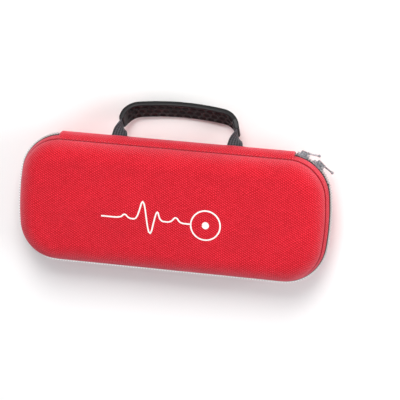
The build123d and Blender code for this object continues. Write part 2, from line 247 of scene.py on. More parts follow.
def shell_points(side, crown):
    """Grid of one half's outer surface, and its cloth map. side is 1 for the lid, -1 for the base."""
    per_column = []
    for x, y, nx, ny, start in columns:
        profile = outer_profile(start)
        run = np.concatenate([[0], np.cumsum(np.linalg.norm(np.diff(profile, axis=0), axis=1))])
        foot_x, foot_y = x - face_inset * nx, y - face_inset * ny
        places, flats = [], []
        for (inset, d), away in zip(profile, run[-1] - run):
            px, py = x - inset * nx, y - inset * ny
            places.append((px, py, middle + side * (d + ripple(px, py, d))))
            flats.append((foot_x + away * nx, foot_y + away * ny))
        for share, px, py in to_ridge(foot_x, foot_y, 15):
            d = face_distance + crown * eased(share) + ripple(px, py, face_distance)
            places.append((px, py, middle + side * d))
            flats.append((px, py))
        per_column.append((places, flats))
    return by_rows(per_column)


def groove_shade_at(points):
    """Painted shade at each point, 1 in the groove and 0 away from it; the colour is darkened by it there.
    """
    return np.exp(-(((np.abs(points[:, :, 2] - middle) - groove) / groove_shade_half) ** 4))


def red_oxford(name):
    """Fabric-faced foam: a piece-dyed polyester oxford bonded flat to the foam and moulded with it.
    Its short floats step down to the right; loose fibre gives a pink bloom at glancing angles."""
    warp_spacing, weft_spacing = 1.67, 1.04
    made, tree = new_material(name)
    cloth = add_node(tree, "UVMap", uv_map="cloth")
    across = add_node(tree, "SeparateXYZ", [(0, cloth)])
    # The yarns wander a little, so the weave isn't ruled.
    drift = add_node(tree, "TexNoise", [("Vector", cloth), ("Scale", 0.06), ("Detail", 4.0)])
    bend = add_node(tree, "Math", [(0, drift), (1, 4.0)], operation="MULTIPLY")
    bent_x = add_node(tree, "Math", [(0, across.outputs[0]), (1, bend)], operation="ADD")
    bent_y = add_node(tree, "Math", [(0, across.outputs[1]), (1, bend)], operation="SUBTRACT")
    u = add_node(tree, "Math", [(0, bent_x), (1, warp_spacing)], operation="DIVIDE")
    v = add_node(tree, "Math", [(0, bent_y), (1, weft_spacing)], operation="DIVIDE")
    # Warp and weft cross over one and under one; each crossing stands up as a round knuckle.
    column = add_node(tree, "Math", [(0, u)], operation="FLOOR")
    row = add_node(tree, "Math", [(0, v)], operation="FLOOR")
    crossing = add_node(tree, "Math", [(0, column), (1, row)], operation="ADD")
    warp_up = add_node(tree, "Math", [(0, crossing), (1, 1.0)], operation="PINGPONG")
    rounds = []
    for yarns in (u, v):
        turn = add_node(tree, "Math", [(0, yarns), (1, math.pi)], operation="MULTIPLY")
        wave = add_node(tree, "Math", [(0, turn)], operation="SINE")
        rounds.append(add_node(tree, "Math", [(0, wave)], operation="ABSOLUTE"))
    knuckle = add_node(tree, "Math", [(0, rounds[0]), (1, rounds[1])], operation="MULTIPLY")
    over = add_node(tree, "Math", [(0, warp_up), (1, 0.75), (2, 0.25)], operation="MULTIPLY_ADD")
    weave = add_node(tree, "Math", [(0, knuckle), (1, over)], operation="MULTIPLY")
    diagonal = add_node(tree, "Math", [(0, u), (1, v)], operation="ADD")
    slope = add_node(tree, "Math", [(0, diagonal), (1, math.pi)], operation="MULTIPLY")
    slant = add_node(tree, "Math", [(0, slope)], operation="SINE")
    # Thick and thin yarns and loose fibre break the pattern up.
    yarn = add_node(tree, "CombineXYZ", [(0, column), (1, row)])
    slub = add_node(tree, "TexWhiteNoise", [("Vector", yarn)], noise_dimensions="2D")
    fuzz = add_node(tree, "TexNoise", [("Vector", cloth), ("Scale", 1.6), ("Detail", 3.0)])
    height = weave
    for part, share in ((slant, 0.3), (fuzz, 0.35), (slub, 0.22)):
        height = add_node(tree, "Math", [(0, part), (1, share), (2, height)], operation="MULTIPLY_ADD")
    bump = add_node(tree, "Bump", [("Height", height), ("Strength", 0.9), ("Distance", 0.00045)])
    # The colour follows the weave's height: raised yarns lighter and pinker, hollows darker. This is
    # painted highlight and painted shade.
    shade = add_node(tree, "MapRange", [(0, height), (1, 0.1), (2, 1.2)])
    yarn_light_and_shade = [(0, shade), (6, linear("#b8000c")), (7, linear("#fb394d"))]
    tint = add_node(tree, "Mix", yarn_light_and_shade, data_type="RGBA")
    # The dye is slightly cloudy. In the groove the colour is darkened: painted shade, for the shade in the
    # deep, narrow groove.
    cloudy = add_node(tree, "TexNoise", [("Vector", cloth), ("Scale", 0.03), ("Detail", 3.0)])
    value = add_node(tree, "MapRange", [(0, cloudy), (1, 0.3), (2, 0.7), (3, 0.95), (4, 1.04)])
    groove_shade = add_node(tree, "Attribute", attribute_name="groove_shade").outputs["Fac"]
    loss = add_node(tree, "Math", [(0, groove_shade), (1, 0.7)], operation="MULTIPLY")
    kept = add_node(tree, "Math", [(0, 1.0), (1, loss)], operation="SUBTRACT")
    cloud_and_groove_shade = add_node(tree, "Math", [(0, value), (1, kept)], operation="MULTIPLY")
    colour = add_node(tree, "HueSaturation", [("Color", tint.outputs[2]), ("Value", cloud_and_groove_shade)])
    look = [("Base Color", colour), ("Roughness", 0.62), ("Specular IOR Level", 0.1), ("Normal", bump)]
    look += [("Sheen Weight", 0.7), ("Sheen Roughness", 0.38), ("Sheen Tint", linear("#ffa3b4"))]
    face = add_node(tree, "BsdfPrincipled", look)
    add_node(tree, "OutputMaterial", [("Surface", face)])
    return made


oxford = red_oxford("moulded_polyester_oxford")
points, cloth = shell_points(1, lid_crown)
# Painted shade that darkens the colour in the groove.
groove_shade = groove_shade_at(points)
lid_face = grid_piece("lid_outer_face", points, cloth, oxford, wrap_columns=True, groove_shade=groove_shade)
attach(lid_face, "lid")
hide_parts("lid_shell")

# The base's face is flat, so that the case lies still; nothing of it goes below the table.
points, cloth = shell_points(-1, 0.0)
groove_shade = groove_shade_at(points)
points[:, :, 2] = np.maximum(points[:, :, 2], 0.0)
points, cloth, groove_shade = points[:, ::-1], cloth[:, ::-1], groove_shade[:, ::-1]
base_face = grid_piece("base_outer_face", points, cloth, oxford, wrap_columns=True, groove_shade=groove_shade)
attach(base_face, "base")
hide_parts("base_shell")


# -----------------------------------------------------------------------------
# Linings. Black knitted jersey laminated on the inside of both halves, following the moulded
# cavity down to its floor. It only shows when the case is open.
# -----------------------------------------------------------------------------
cavity_inset, cavity_start, cavity_floor = 5.04, 4.5, 26.0
cavity_rounding, cavity_rounding_inset, wall_end = 14.0, 21.14, 15.15


def wall_inset(d):
    """Inset of the drafted cavity wall at a distance from the zip's plane."""
    return cavity_inset + (d - cavity_start) * math.tan(wall_draft)


def inner_profile(start):
    """Inset and distance of the cavity's surface, from the rim to the floor."""
    places = [(cloth_edge_inset, start)]
    for d in np.linspace(start + 0.4, wall_end, 5):
        places.append((wall_inset(d), d))
    for turn in np.linspace(wall_draft, math.pi / 2, 10)[1:]:
        inset = cavity_rounding_inset - cavity_rounding * math.cos(turn)
        places.append((inset, rounding_distance + cavity_rounding * math.sin(turn)))
    places.append((face_inset, cavity_floor))
    return np.array(places)


def lining_points(side):
    """Grid of one cavity's surface, and its cloth map."""
    per_column = []
    for x, y, nx, ny, start in columns:
        places, flats = [], []
        for inset, d in inner_profile(start):
            px, py, up = x - inset * nx, y - inset * ny, cavity_floor - d
            places.append((px, py, middle + side * d))
            flats.append((px + up * nx, py + up * ny))
        for share, px, py in to_ridge(x - face_inset * nx, y - face_inset * ny, 9):
            places.append((px, py, middle + side * cavity_floor))
            flats.append((px, py))
        per_column.append((places, flats))
    return by_rows(per_column)


def jersey(name):
    """Knitted jersey: rows of small loops, matt and slightly fuzzy, so it reads as soft grey black."""
    wale_spacing, course_spacing = 1.1, 0.9
    made, tree = new_material(name)
    cloth = add_node(tree, "UVMap", uv_map="cloth")
    across = add_node(tree, "SeparateXYZ", [(0, cloth)])
    wales = [(0, across.outputs[0]), (1, 2 * math.pi / wale_spacing)]
    courses = [(0, across.outputs[1]), (1, 2 * math.pi / course_spacing)]
    u = add_node(tree, "Math", wales, operation="MULTIPLY")
    v = add_node(tree, "Math", courses, operation="MULTIPLY")
    bow = add_node(tree, "Math", [(0, u)], operation="SINE")
    wave = add_node(tree, "Math", [(0, bow), (1, 0.9), (2, v)], operation="MULTIPLY_ADD")
    loops = add_node(tree, "Math", [(0, wave)], operation="SINE")
    fuzz = add_node(tree, "TexNoise", [("Vector", cloth), ("Scale", 0.8), ("Detail", 4.0)])
    height = add_node(tree, "Math", [(0, loops), (1, 0.5), (2, fuzz)], operation="MULTIPLY_ADD")
    bump = add_node(tree, "Bump", [("Height", height), ("Strength", 0.6), ("Distance", 0.0003)])
    # Loop tops are coloured lighter and the gaps between loops darker: painted highlight and painted shade.
    shade = add_node(tree, "MapRange", [(0, height), (1, -0.2), (2, 1.2)])
    yarn_light_and_shade = [(0, shade), (6, linear("#17171a")), (7, linear("#303036"))]
    tint = add_node(tree, "Mix", yarn_light_and_shade, data_type="RGBA")
    look = [("Base Color", tint.outputs[2]), ("Roughness", 0.9), ("Sheen Weight", 0.2), ("Normal", bump)]
    face = add_node(tree, "BsdfPrincipled", look)
    add_node(tree, "OutputMaterial", [("Surface", face)])
    return made


knit = jersey("black_knitted_jersey")
for side, body in ((1, "lid"), (-1, "base")):
    points, cloth = lining_points(side)
    piece = grid_piece(body + "_cavity_lining", points, cloth, knit, wrap_columns=True)
    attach(piece, body)
    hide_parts(body + "_lining")


# -----------------------------------------------------------------------------
# Spine. The same red oxford goes over the strip between the halves and down to both grooves; it
# folds along the strip's two edges. Black jersey closes it on the inside.
# -----------------------------------------------------------------------------
spine_x = 105.2
end_tuck, tuck_length = 1.5, 1.2
leg_x, cloth_start, bend_share = 51.75, 35, 0.42
foot_puff, foot_half_length, foot_half_height = 0.75, 7.5, 4.2

# Each layer leaves the wall at a point, in a direction, and crosses the zip's plane at another
# point; all three are (y, distance from that plane).
outer_layer = (Vector((53.25, 12.95)), Vector((0.62, -0.785)), Vector((59.15, 0.0)))
inner_layer = (Vector((51.9, 11.0)), Vector((0.3, -0.95)), Vector((53.75, 0.0)))


def spine_strip(side, layer):
    """One layer's curve from a half's wall to the zip's plane, as (y, z) points."""
    start, lean, end = layer
    reach = (end - start).length * bend_share
    near_start = start + lean * reach
    near_end = end + Vector((0.0, reach))
    places = []
    for t in np.linspace(0, 1, 15).tolist():
        b0, b1, b2, b3 = (1 - t) ** 3, 3 * t * (1 - t) ** 2, 3 * t**2 * (1 - t), t**3
        p = b0 * start + b1 * near_start + b2 * near_end + b3 * end
        places.append((p.x, middle + side * p.y))
    return places


def spine_points(side, layer):
    """Grid of half the spine's cover, and its cloth map. The outer layer swells over the sewn
    webbing and is tucked in at its ends."""
    profile = spine_strip(side, layer)
    xs = [-spine_x, -spine_x + 0.12, -spine_x + 0.5, -spine_x + tuck_length]
    xs += list(np.linspace(-spine_x + 3.5, spine_x - 3.5, 70))
    xs += [-x for x in xs[3::-1]]
    points, cloth = empty_grids(len(profile), len(xs))
    run = 0.0
    for i, (y, z) in enumerate(profile):
        if i:
            run += math.hypot(y - profile[i - 1][0], z - profile[i - 1][1])
        for j, x in enumerate(xs):
            puff = 0.0
            if layer is outer_layer:
                tucked = max(0.0, 1 - (spine_x - abs(x)) / tuck_length)
                beside = math.exp(-(((abs(x) - leg_x) / foot_half_length) ** 4))
                above = math.exp(-(((z - middle) / foot_half_height) ** 4))
                puff = foot_puff * beside * above - end_tuck * tucked**2
            points[i, j] = (x, y + puff, z)
            cloth[i, j] = (x, cloth_start + run)
    return points, cloth


# In metres: each seam's fold line and two heights about it, which the loop below doesn't use.
fold_y, bend_low, bend_high, case_top = 0.0573, 0.0172, 0.0235, 0.06
for side, pair, start_z, end_z in (
    (-1, ("base", "spine"), bend_low, bend_high),
    (1, ("spine", "lid"), case_top - bend_high, case_top - bend_low),
):
    points, cloth = spine_points(side, outer_layer)
    name = "spine_cover_" + pair[0] + "_side"
    # The spine's cloth carries painted shade in the grooves too.
    cover = grid_piece(name, points, cloth, oxford, groove_shade=groove_shade_at(points))
    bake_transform(cover)
    points, cloth = spine_points(side, inner_layer)
    inside = grid_piece("spine_inside_" + pair[0] + "_side", points, cloth, knit)
    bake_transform(inside)
    if pair[0] == "base":
        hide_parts("spine_panel", "handle_patches")
        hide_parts("spine_lining")


# -----------------------------------------------------------------------------
# Zip tapes. Black woven polyester tape, sewn behind both rims and gripped by the teeth at its
# edge; a narrow dark line of it shows on each side of the chain.
# -----------------------------------------------------------------------------
def woven_tape(name, dark, light, pitch):
    """Narrow woven tape or webbing: close cross ribs and a flat, dull face."""
    made, tree = new_material(name)
    cloth = add_node(tree, "UVMap", uv_map="cloth")
    across = add_node(tree, "SeparateXYZ", [(0, cloth)])
    waves = []
    for place, spacing in ((across.outputs[0], pitch), (across.outputs[1], pitch * 0.8)):
        turn = add_node(tree, "Math", [(0, place), (1, 2 * math.pi / spacing)], operation="MULTIPLY")
        waves.append(add_node(tree, "Math", [(0, turn)], operation="SINE"))
    ribs, yarns = waves
    height = add_node(tree, "Math", [(0, yarns), (1, 0.4), (2, ribs)], operation="MULTIPLY_ADD")
    bump = add_node(tree, "Bump", [("Height", height), ("Strength", 0.6), ("Distance", 0.0002)])
    # Rib tops are coloured lighter and the hollows darker: painted highlight and painted shade.
    shade = add_node(tree, "MapRange", [(0, height), (1, -1.2), (2, 1.3)])
    tint = add_node(tree, "Mix", [(0, shade), (6, linear(dark)), (7, linear(light))], data_type="RGBA")
    look = [("Base Color", tint.outputs[2]), ("Roughness", 0.8), ("Sheen Weight", 0.1), ("Normal", bump)]
    face = add_node(tree, "BsdfPrincipled", look)
    add_node(tree, "OutputMaterial", [("Surface", face)])
    return made


# Distances along the outline: the zip starts beside the spine, and a stretch that holds both
# parked sliders stays closed.
zip_start = corner_run(106.5)
first_slider_run, slider_spacing, closed_tail = 5.7, 15.25, 20.0
closed_end = zip_start + first_slider_run + slider_spacing + closed_tail
tape_section = [(0.5, 0.9), (0.42, 3.1), (0.8, 3.6), (1.3, 4.2), (1.8, 4.2), (1.5, 0.9)]
tape_spacing, tape_gap = 1.6, 0.6


def tape_points(side, first, last):
    """Thin band behind the teeth, its cross-section a closed loop of (inset, rise) points."""
    runs = np.arange(first, last, tape_spacing).tolist() + [last]
    points, cloth = empty_grids(len(tape_section), len(runs))
    for j, run in enumerate(runs):
        x, y, nx, ny = around(run)
        for i, (inset, rise) in enumerate(tape_section):
            points[i, j] = (x - inset * nx, y - inset * ny, middle + side * rise)
            cloth[i, j] = (run, rise + inset)
    return points, cloth


tape_cloth = woven_tape("black_woven_zip_tape", "#0d0d0f", "#242428", 0.7)
for name, body, side, first, last, stands_for in (
    ("zip_tape_woven_base", "base", -1, zip_start, perimeter - zip_start, "zip_tape_base"),
    ("zip_tape_woven_closed", "base", 1, zip_start, closed_end, "zip_closed_tape"),
    ("zip_tape_woven_lid", "lid", 1, closed_end + tape_gap, perimeter - zip_start, "zip_tape_lid"),
):
    points, cloth = tape_points(side, first, last)
    tape = grid_piece(name, points, cloth, tape_cloth, wrap_rows=True)
    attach(tape, body)
    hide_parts(stands_for)


# -----------------------------------------------------------------------------
# Zip chain. Stamped metal teeth crimped on the tapes, 2.4 mm apart on each side and meshing in
# between. Beside the sliders both rows stay with the base, as that stretch never opens.
# -----------------------------------------------------------------------------
def bright_metal(name, colour, rough, scratch):
    """Nickel plate on cast or stamped zinc: bright, with fine wear that breaks up the highlights."""
    made, tree = new_material(name)
    place = add_node(tree, "TexCoord").outputs["Object"]
    wear = add_node(tree, "TexNoise", [("Vector", place), ("Scale", scratch), ("Detail", 4.0)])
    dull = add_node(tree, "MapRange", [(0, wear), (1, 0.3), (2, 0.7), (3, rough), (4, rough + 0.16)])
    bump = add_node(tree, "Bump", [("Height", wear), ("Strength", 0.15), ("Distance", 0.0001)])
    look = [("Base Color", linear(colour)), ("Metallic", 1.0), ("Roughness", dull), ("Normal", bump)]
    plate = add_node(tree, "BsdfPrincipled", look)
    add_node(tree, "OutputMaterial", [("Surface", plate)])
    return made


teeth_metal = bright_metal("stamped_bright_zinc_teeth", "#d6d4d4", 0.28, 900.0)

# A tooth as (along the zip, away from its plane) points: a square foot, a waist and a rounded
# head that reaches past the plane. Its outer face is smaller, for the bevel.
tooth_half = [(0.62, 3.0), (0.64, 1.4), (0.42, 0.7), (0.48, -0.1), (0.3, -0.6)]
tooth_outline = [(-0.62, 3.0)] + tooth_half + [(-along, away) for along, away in tooth_half[:0:-1]]
tooth_layers = [(-0.85, 0.78), (-0.6, 1.0), (1.9, 1.0)]
tooth_middle, tooth_step = 1.15, 1.2
first_tooth, end_margin, lid_margin = 0.8, 0.6, 1.1


def teeth_piece(name, rows, material):
    """Teeth at (run, side) places, each a stack of outlines at an inset and a share of its width."""
    count = len(tooth_outline)
    verts, faces = [], []
    for run, side in rows:
        x, y, nx, ny = around(run)
        first = len(verts)
        for inset, share in tooth_layers:
            for along, away in tooth_outline:
                rise = tooth_middle + (away - tooth_middle) * (0.9 + 0.1 * share)
                px = x - inset * nx + along * share * ny
                py = y - inset * ny - along * share * nx
                verts.append((px * 0.001, py * 0.001, (middle + side * rise) * 0.001))
        for layer in range(2):
            for k in range(count):
                a, b = first + layer * count + k, first + layer * count + (k + 1) % count
                faces.append((a, b, b + count, a + count))
        faces.append(tuple(first + k for k in range(count))[::-1])
        faces.append(tuple(first + 2 * count + k for k in range(count)))
    mesh = bpy.data.meshes.new(name)
    mesh.from_pydata(verts, [], faces)
    mesh.materials.append(material)
    return into_scene(name, mesh)


tooth_runs = np.arange(zip_start + first_tooth, perimeter - zip_start - end_margin, tooth_step)
base_teeth = [(run, -1) for run in tooth_runs[::2]]
closed_teeth = [(run, 1) for run in tooth_runs[1::2] if run < closed_end - end_margin]
lid_teeth = [(run, 1) for run in tooth_runs[1::2] if run > closed_end + lid_margin]
for name, body, rows, stands_for in (
    ("zip_teeth_base", "base", base_teeth, "zip_chain_base"),
    ("zip_teeth_closed", "base", closed_teeth, "zip_closed_chain"),
    ("zip_teeth_lid", "lid", lid_teeth, "zip_chain_lid"),
):
    teeth = teeth_piece(name, rows, teeth_metal)
    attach(teeth, body)
    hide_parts(stands_for)


# -----------------------------------------------------------------------------
# Sliders, crowns, pulls and stops. Die-cast zinc with a bright nickel plate. Tumbling rounds the
# edges of all but the stops, which are stamped.
# -----------------------------------------------------------------------------
def dressed(name, material):
    """The frame's own piece of this name, with its material."""
    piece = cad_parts[name]
    piece.data.materials.clear()
    piece.data.materials.append(material)
    return piece


# The plate's colour is much darker than bright nickel: painted dark reflection, standing for dark things
# round the sliders that they mirror.
nickel = bright_metal("nickel_plated_die_cast_zinc", "#8f8f94", 0.2, 500.0)
tumbled_radius = 0.00022
for name in ("first_slider", "second_slider", "first_crown", "second_crown", "first_pull", "second_pull"):
    bevel = dressed(name, nickel).modifiers.new("tumbled_edges", "BEVEL")
    bevel.width = tumbled_radius
    bevel.segments = 2
    bevel.limit_method = "ANGLE"
for name in ("zip_stops_base", "zip_stop_lid"):
    dressed(name, nickel)


# -----------------------------------------------------------------------------
# Handle grip. Soft black rubber moulded in one strap-like arch. Both broad faces carry a
# honeycomb of shallow recesses; a smooth border and the side edges stay plain.
# -----------------------------------------------------------------------------
# The grip lies in a plane that droops from the hinge: out_way is away from the case in it, and
# side_way is across the strap.
droop = math.radians(40)
hinge = Vector((0, 60.8, 30.0))
out_way = Vector((0, math.cos(droop), -math.sin(droop)))
side_way = Vector((0, math.sin(droop), math.cos(droop)))
grip_top, grip_rise, grip_shoulder, grip_start = 30.25, 6.0, 16.75, 12.0
grip_half, end_half, taper_length = 10.5, 7.5, 7.0
half_thickness, grip_edge, end_thinning, thinning_length = 2.25, 1.1, 0.2, 1.5
cell_pitch, cell_wall, cell_slope, recess_depth = 7.4, 1.7, 0.5, 0.95
plain_border, plain_end, section_spacing = 1.9, 7.0, 0.45


def grip_centre():
    """Points, tangents and distances along the middle of the grip, in its own plane."""
    top_radius = (leg_x**2 + grip_rise**2) / (2 * grip_rise)
    centre_x = leg_x - grip_shoulder
    centre_y = grip_top - top_radius + math.sqrt((top_radius - grip_shoulder) ** 2 - centre_x**2)
    top_turn = math.atan2(centre_x, centre_y - grip_top + top_radius)
    places = []
    for turn in np.linspace(math.asin((grip_start - centre_y) / grip_shoulder), math.pi / 2 - top_turn, 60):
        x, y = centre_x + grip_shoulder * math.cos(turn), centre_y + grip_shoulder * math.sin(turn)
        places.append((x, y))
    for turn in np.linspace(top_turn, 0, 90)[1:]:
        places.append((top_radius * math.sin(turn), grip_top - top_radius + top_radius * math.cos(turn)))
    right = np.array(places)
    whole = np.vstack([right, right[-2::-1] * [-1, 1]])
    run = np.concatenate([[0], np.cumsum(np.linalg.norm(np.diff(whole, axis=0), axis=1))])
    way = np.gradient(whole, axis=0)
    way /= np.linalg.norm(way, axis=1)[:, None]
    return whole, way, run


def recess(along, across, half, from_end):
    """Depth of the honeycomb at a point of a broad face. A cell's wall is where the two nearest
    cell centres are almost equally far."""
    if abs(across) >= half - plain_border or from_end <= plain_end:
        return 0.0
    row_spacing = cell_pitch * math.sqrt(3) / 2
    below = math.floor(across / row_spacing)
    away = []
    for row in range(below - 1, below + 3):
        shift = 0.5 * cell_pitch * (row % 2)
        nearest = round((along - shift) / cell_pitch)
        for k in (nearest - 1, nearest, nearest + 1):
            away.append(math.hypot(along - k * cell_pitch - shift, across - row * row_spacing))
    best, second = sorted(away)[:2]
    return recess_depth * held(((second - best) / 2 - cell_wall / 2) / cell_slope)


def grip_section(along, half, thick, from_end):
    """Section of the strap as (across, out) points round its loop: face, edge, face, edge."""
    flat, rise = half - grip_edge, thick - grip_edge
    face = np.linspace(-flat, flat, 44)
    turns = np.linspace(0, math.pi / 2, 5)
    points = [(w, thick - recess(along, w, half, from_end)) for w in face]
    points += [(flat + grip_edge * math.sin(t), rise + grip_edge * math.cos(t)) for t in turns[1:]]
    points += [(flat + grip_edge * math.cos(t), -rise - grip_edge * math.sin(t)) for t in turns]
    points += [(w, -thick + recess(along, w, half, from_end)) for w in face[::-1]]
    points += [(-flat - grip_edge * math.sin(t), -rise - grip_edge * math.cos(t)) for t in turns[1:]]
    points += [(-flat - grip_edge * math.cos(t), rise + grip_edge * math.sin(t)) for t in turns[:-1]]
    return points


def grip_points():
    """Grid of the grip: round its section by rows, along it by columns."""
    centre, way, run = grip_centre()
    per_column = []
    for (cx, cy), (tx, ty), s in zip(centre, way, run):
        from_end = min(s, run[-1] - s)
        half = end_half + (grip_half - end_half) * held((cy - grip_start) / taper_length)
        thinned = 1 - end_thinning + end_thinning * from_end / thinning_length
        thick = half_thickness * min(1.0, thinned)
        places, flats = [], []
        for k, (w, h) in enumerate(grip_section(s - run[-1] / 2, half, thick, from_end)):
            p = hinge + Vector((cx + ty * h, 0, 0)) + out_way * float(cy - tx * h) + side_way * float(w)
            places.append(tuple(p))
            flats.append((s, k * section_spacing))
        per_column.append((places, flats))
    return by_rows(per_column)


def moulded_rubber(name):
    """Soft moulded rubber with a fine spark-eroded grain: matt black with a broad, low sheen."""
    made, tree = new_material(name)
    place = add_node(tree, "TexCoord").outputs["Object"]
    grain = add_node(tree, "TexNoise", [("Vector", place), ("Scale", 1600.0), ("Detail", 3.0)])
    smear = add_node(tree, "TexNoise", [("Vector", place), ("Scale", 60.0), ("Detail", 2.0)])
    bump = add_node(tree, "Bump", [("Height", grain), ("Strength", 0.35), ("Distance", 0.0001)])
    rough = add_node(tree, "MapRange", [(0, smear), (1, 0.3), (2, 0.7), (3, 0.42), (4, 0.58)])
    look = [("Base Color", linear("#07060a")), ("Specular IOR Level", 0.36), ("Normal", bump)]
    look += [("Roughness", rough)]
    face = add_node(tree, "BsdfPrincipled", look)
    add_node(tree, "OutputMaterial", [("Surface", face)])
    return made


rubber = moulded_rubber("moulded_black_rubber")
points, cloth = grip_points()
grip = grid_piece("grip_moulding", points, cloth, rubber, wrap_rows=True)
both_ends = (points[:, [0, -1]] * 0.001).transpose(1, 0, 2)
count = both_ends.shape[1]
end_faces = [list(range(count)), list(range(2 * count - 1, count - 1, -1))]
cap = bpy.data.meshes.new("grip_ends")
cap.from_pydata(both_ends.reshape(-1, 3).tolist(), [], end_faces)
cap.materials.append(rubber)
grip_ends = into_scene("grip_ends", cap)
for piece in (grip, grip_ends):
    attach(piece, "handle")
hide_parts("handle_grip")


# -----------------------------------------------------------------------------
# Handle webbing. Ribbed black polypropylene webbing, sewn flat under the spine's cloth and given
# a quarter turn before it enters the grip, which is moulded over it.
# -----------------------------------------------------------------------------
webbing_half, webbing_half_thickness, webbing_edge = 6.5, 0.85, 0.35
webbing_start, webbing_end, turned_at, twist_squeeze = -1.6, 13.5, 11.5, 0.12


def webbing_points(centre_x):
    """Grid of one twisted end: its section round by rows, along it by columns."""
    face = np.linspace(-webbing_half, webbing_half, 19).tolist()
    section = [(w, webbing_half_thickness) for w in face] + [(webbing_half + webbing_edge, 0.0)]
    section += [(w, -webbing_half_thickness) for w in face[::-1]] + [(-webbing_half - webbing_edge, 0.0)]
    outs = np.linspace(webbing_start, webbing_end, 40).tolist()
    points, cloth = empty_grids(len(section), len(outs))
    for j, out in enumerate(outs):
        share = held(out / turned_at)
        turn = -math.pi / 2 * eased(share)
        squeeze = 1.0 - twist_squeeze * math.sin(math.pi * share)
        for i, (w, h) in enumerate(section):
            x = w * squeeze * math.cos(turn) - h * math.sin(turn)
            s = w * squeeze * math.sin(turn) + h * math.cos(turn)
            points[i, j] = tuple(hinge + Vector((centre_x + x, 0, 0)) + out_way * out + side_way * s)
            cloth[i, j] = (w, out)
    return points, cloth


webbing_cloth = woven_tape("black_ribbed_webbing", "#040405", "#4c4b52", 2.4)
for name, centre_x in (("webbing_end_left", -leg_x), ("webbing_end_right", leg_x)):
    points, cloth = webbing_points(centre_x)
    end_piece = grid_piece(name, points, cloth, webbing_cloth, wrap_rows=True)
    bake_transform(end_piece)
    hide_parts("handle_webbing")


# -----------------------------------------------------------------------------
# Print on the lid. One thin line of white screen-print ink: a pulse trace that runs into a plain
# open ring with a dot. It lies on the cloth and follows the face's slight unevenness.
# -----------------------------------------------------------------------------
line_width, dot_line_width, ink_height, ink_spacing, corner_cut = 1.35, 3.2, 0.09, 0.8, 0.2
ring_x, ring_y, ring_radius, dot_radius = 35, -7, 13, 1.6


def lid_height(x, y):
    """Height of the lid's face at a point within its flat part."""
    share = held(1 - abs(y) / (width / 2 - face_inset))
    return middle + face_distance + lid_crown * eased(share) + ripple(x, y, face_distance)


def ink_line(name, path, line, material):
    """Flat ribbon along a path of (x, y) points, just proud of the cloth."""
    path = np.array(path, float)
    dense = [path[0]]
    for a, b in zip(path[:-1], path[1:]):
        count = max(1, int(np.linalg.norm(b - a) / ink_spacing))
        dense += [a + (b - a) * k / count for k in range(1, count + 1)]
    dense = np.array(dense)
    way = np.gradient(dense, axis=0)
    way /= np.linalg.norm(way, axis=1)[:, None]
    side = np.stack([-way[:, 1], way[:, 0]], axis=1)
    points, cloth = empty_grids(4, len(dense))
    for j, (p, s) in enumerate(zip(dense, side)):
        for i, share in enumerate((-0.5, -0.18, 0.18, 0.5)):
            q = p + s * line * share
            points[i, j] = (q[0], q[1], lid_height(q[0], q[1]) + ink_height)
            cloth[i, j] = q
    return grid_piece(name, points, cloth, material)


def screen_ink(name):
    """Opaque white plastisol ink, slightly glossy, its surface following the weave below it."""
    made, tree = new_material(name)
    cloth = add_node(tree, "UVMap", uv_map="cloth")
    weave = add_node(tree, "TexNoise", [("Vector", cloth), ("Scale", 1.2), ("Detail", 2.0)])
    bump = add_node(tree, "Bump", [("Height", weave), ("Strength", 0.4), ("Distance", 0.0001)])
    look = [("Base Color", linear("#f4f0ee")), ("Roughness", 0.5), ("Normal", bump)]
    face = add_node(tree, "BsdfPrincipled", look)
    add_node(tree, "OutputMaterial", [("Surface", face)])
    return made


def rounded(path, times):
    """Path with its corners cut back to short curves."""
    path = np.array(path, float)
    for _ in range(times):
        near = path[:-1] * (1 - corner_cut) + path[1:] * corner_cut
        far = path[:-1] * corner_cut + path[1:] * (1 - corner_cut)
        path = np.vstack([path[:1], np.stack([near, far], axis=1).reshape(-1, 2), path[-1:]])
    return path


def circle(radius, count):
    """Closed path round the ring's middle, from its left."""
    turns = np.linspace(0, 2 * math.pi, count)
    return [(ring_x - radius * math.cos(t), ring_y + radius * math.sin(t)) for t in turns]


trace = [(-58, -7), (-41, -7), (-37, -3), (-33, -7), (-26, -7), (-21, 14), (-14, -25), (-8.5, 4), (-5, -7)]
trace += [(4, -7), (8.5, -1.5), (13, -7), (ring_x - ring_radius, ring_y)]
ink = screen_ink("white_screen_print_ink")
for name, path, line in (
    ("lid_print_trace", rounded(trace, 2), line_width),
    ("lid_print_ring", circle(ring_radius, 90), line_width),
    ("lid_print_dot", circle(dot_radius, 40), dot_line_width),
):
    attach(ink_line(name, path, line, ink), "lid")


